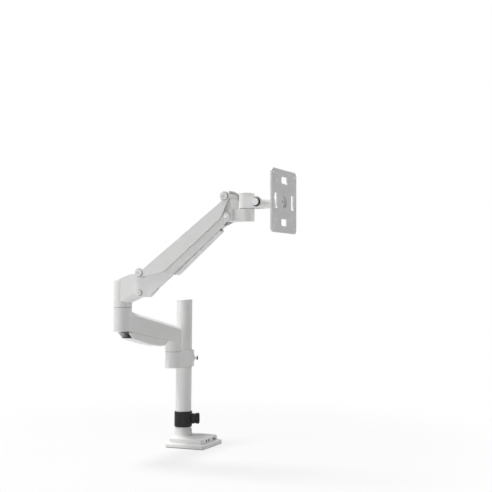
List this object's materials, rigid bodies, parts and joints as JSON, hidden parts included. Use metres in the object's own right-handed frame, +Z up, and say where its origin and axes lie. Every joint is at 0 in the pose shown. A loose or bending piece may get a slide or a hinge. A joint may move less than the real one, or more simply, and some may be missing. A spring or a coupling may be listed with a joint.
{
  "type": "monitor arm",
  "caption": "White spring-balanced monitor arm on a round desk pole, with a hub base, stop collar, height bracket, two arm sections and a tilting square screen plate.",
  "frame": {"origin": "on the pole's axis, at the desk surface under the rubber pad", "axes": "+Z up along the pole; -Y towards the user, the way the screen plate faces; +X to the user's right, with the lower arm lying along -X"},
  "size_m": [0.3565, 0.3723, 0.5697],
  "materials": {
    "white_cast": "matt white powder coat on die-cast aluminium",
    "white_steel": "matt white powder coat on steel tube and plate",
    "white_plastic": "fine-textured white moulded plastic",
    "black_plastic": "fine-textured black nylon",
    "rubber_pad": "soft black foam rubber",
    "bright_steel": "zinc-plated steel",
    "black_steel": "gloss black painted cylinder",
    "brass": "turned brass",
    "board": "green printed circuit board"
  },
  "bodies": {
    "base": {"desk_pad": "rubber_pad", "base_flange": "white_cast", "base_housing": "white_plastic", "hub_board": "board", "usb_port": "bright_steel", "audio_jacks": "black_plastic", "inlet_port": "bright_steel", "base_screws": "bright_steel", "pole_socket": "white_plastic", "socket_ring": "white_plastic", "pole_plug": "bright_steel", "pole": "white_steel", "pole_pin": "bright_steel", "pole_cap": "white_plastic"},
    "stop": {"stop_collar": "black_plastic", "collar_insert": "brass"},
    "knob": {"stop_knob": "black_plastic", "stop_screw": "bright_steel"},
    "liner": {"pole_liner": "black_plastic"},
    "bracket": {"height_bracket": "white_cast", "pivot_bush": "brass", "pivot_washer": "black_plastic"},
    "clamp": {"clamp_screw": "bright_steel"},
    "lower_arm": {"lower_arm": "white_cast", "pivot_shaft": "bright_steel", "pivot_screw": "bright_steel", "elbow_bush": "brass", "elbow_washer": "black_plastic", "cable_cover": "white_plastic"},
    "elbow": {"elbow_bracket": "white_cast", "elbow_shaft": "bright_steel", "elbow_screw": "bright_steel", "elbow_top_pin": "bright_steel", "elbow_low_pin": "bright_steel", "elbow_spacers": "black_plastic", "tension_block": "brass"},
    "adjuster": {"tension_screw": "bright_steel"},
    "upper_link": {"upper_link": "white_cast", "gas_cylinder": "black_steel", "gas_front_pin": "bright_steel"},
    "gas_rod": {"gas_rod": "bright_steel", "gas_rear_pin": "bright_steel"},
    "lower_link": {"lower_link": "white_cast", "cable_clip": "white_plastic"},
    "end": {"end_bracket": "white_cast", "end_top_pin": "bright_steel", "end_low_pin": "bright_steel", "end_spacers": "black_plastic", "swivel_shaft": "bright_steel", "swivel_washer": "black_plastic"},
    "swivel": {"swivel_knuckle": "white_cast", "swivel_cap": "white_plastic", "tilt_bolt": "bright_steel", "tilt_washers": "black_plastic"},
    "tilt": {"tilt_block": "white_cast", "plate_bolt": "bright_steel"},
    "plate": {"vesa_plate": "white_steel", "vesa_hub": "white_cast"}
  },
  "joints": [
    {"name": "stop_slide", "type": "slide", "parent": "base", "child": "stop", "axis": [0, 0, 1], "range_m": [0, 0.04]},
    {"name": "knob_turn", "type": "hinge", "parent": "stop", "child": "knob", "pos_m": [0, 0, 0.057], "axis": [0.5, -0.866, 0], "range_deg": [-720, 0]},
    {"name": "bracket_slide", "type": "slide", "parent": "base", "child": "liner", "axis": [0, 0, 1], "range_m": [-0.045, 0.09]},
    {"name": "bracket_swivel", "type": "hinge", "parent": "liner", "child": "bracket", "pos_m": [0, 0, 0.19], "axis": [0, 0, 1], "range_deg": [-180, 180]},
    {"name": "clamp_turn", "type": "hinge", "parent": "bracket", "child": "clamp", "pos_m": [0, 0, 0.19015], "axis": [0.5, -0.866, 0], "range_deg": [-720, 0]},
    {"name": "lower_swivel", "type": "hinge", "parent": "bracket", "child": "lower_arm", "pos_m": [-0.048, 0, 0.2086], "axis": [0, 0, 1], "range_deg": [-90, 90]},
    {"name": "elbow_swivel", "type": "hinge", "parent": "lower_arm", "child": "elbow", "pos_m": [-0.251, 0, 0.31], "axis": [0, 0, 1], "range_deg": [-120, 40]},
    {"name": "tension_turn", "type": "hinge", "parent": "elbow", "child": "adjuster", "pos_m": [-0.251, -0.0436, 0.378], "axis": [0, 0, 1], "range_deg": [-720, 720]},
    {"name": "lift", "type": "hinge", "parent": "elbow", "child": "upper_link", "pos_m": [-0.251, -0.0518, 0.378], "axis": [-1, 0, 0], "range_deg": [-72, 7]},
    {"name": "lower_link_swing", "type": "hinge", "parent": "elbow", "child": "lower_link", "pos_m": [-0.251, -0.0518, 0.3396], "axis": [-1, 0, 0], "range_deg": [-73, 8]},
    {"name": "end_level", "type": "hinge", "parent": "upper_link", "child": "end", "pos_m": [-0.251, -0.23698, 0.52268], "axis": [-1, 0, 0], "range_deg": [-8, 73]},
    {"name": "gas_stroke", "type": "slide", "parent": "upper_link", "child": "gas_rod", "axis": [0, 0.7469, -0.6649], "range_m": [-0.0245, 0.003]},
    {"name": "screen_swivel", "type": "hinge", "parent": "end", "child": "swivel", "pos_m": [-0.251, -0.27178, 0.51068], "axis": [0, 0, 1], "range_deg": [-90, 90]},
    {"name": "screen_tilt", "type": "hinge", "parent": "swivel", "child": "tilt", "pos_m": [-0.251, -0.29978, 0.51068], "axis": [1, 0, 0], "range_deg": [-45, 45]},
    {"name": "screen_turn", "type": "hinge", "parent": "tilt", "child": "plate", "pos_m": [-0.251, -0.34978, 0.51068], "axis": [0, -1, 0], "range_deg": [-90, 90]}
  ],
  "couplings": [
    {"joint": "lower_link_swing", "follows": "lift", "ratio": 1},
    {"joint": "end_level", "follows": "lift", "ratio": -1},
    {"joint": "gas_stroke", "follows": "lift", "m_per_rad": 0.01914}
  ]
}
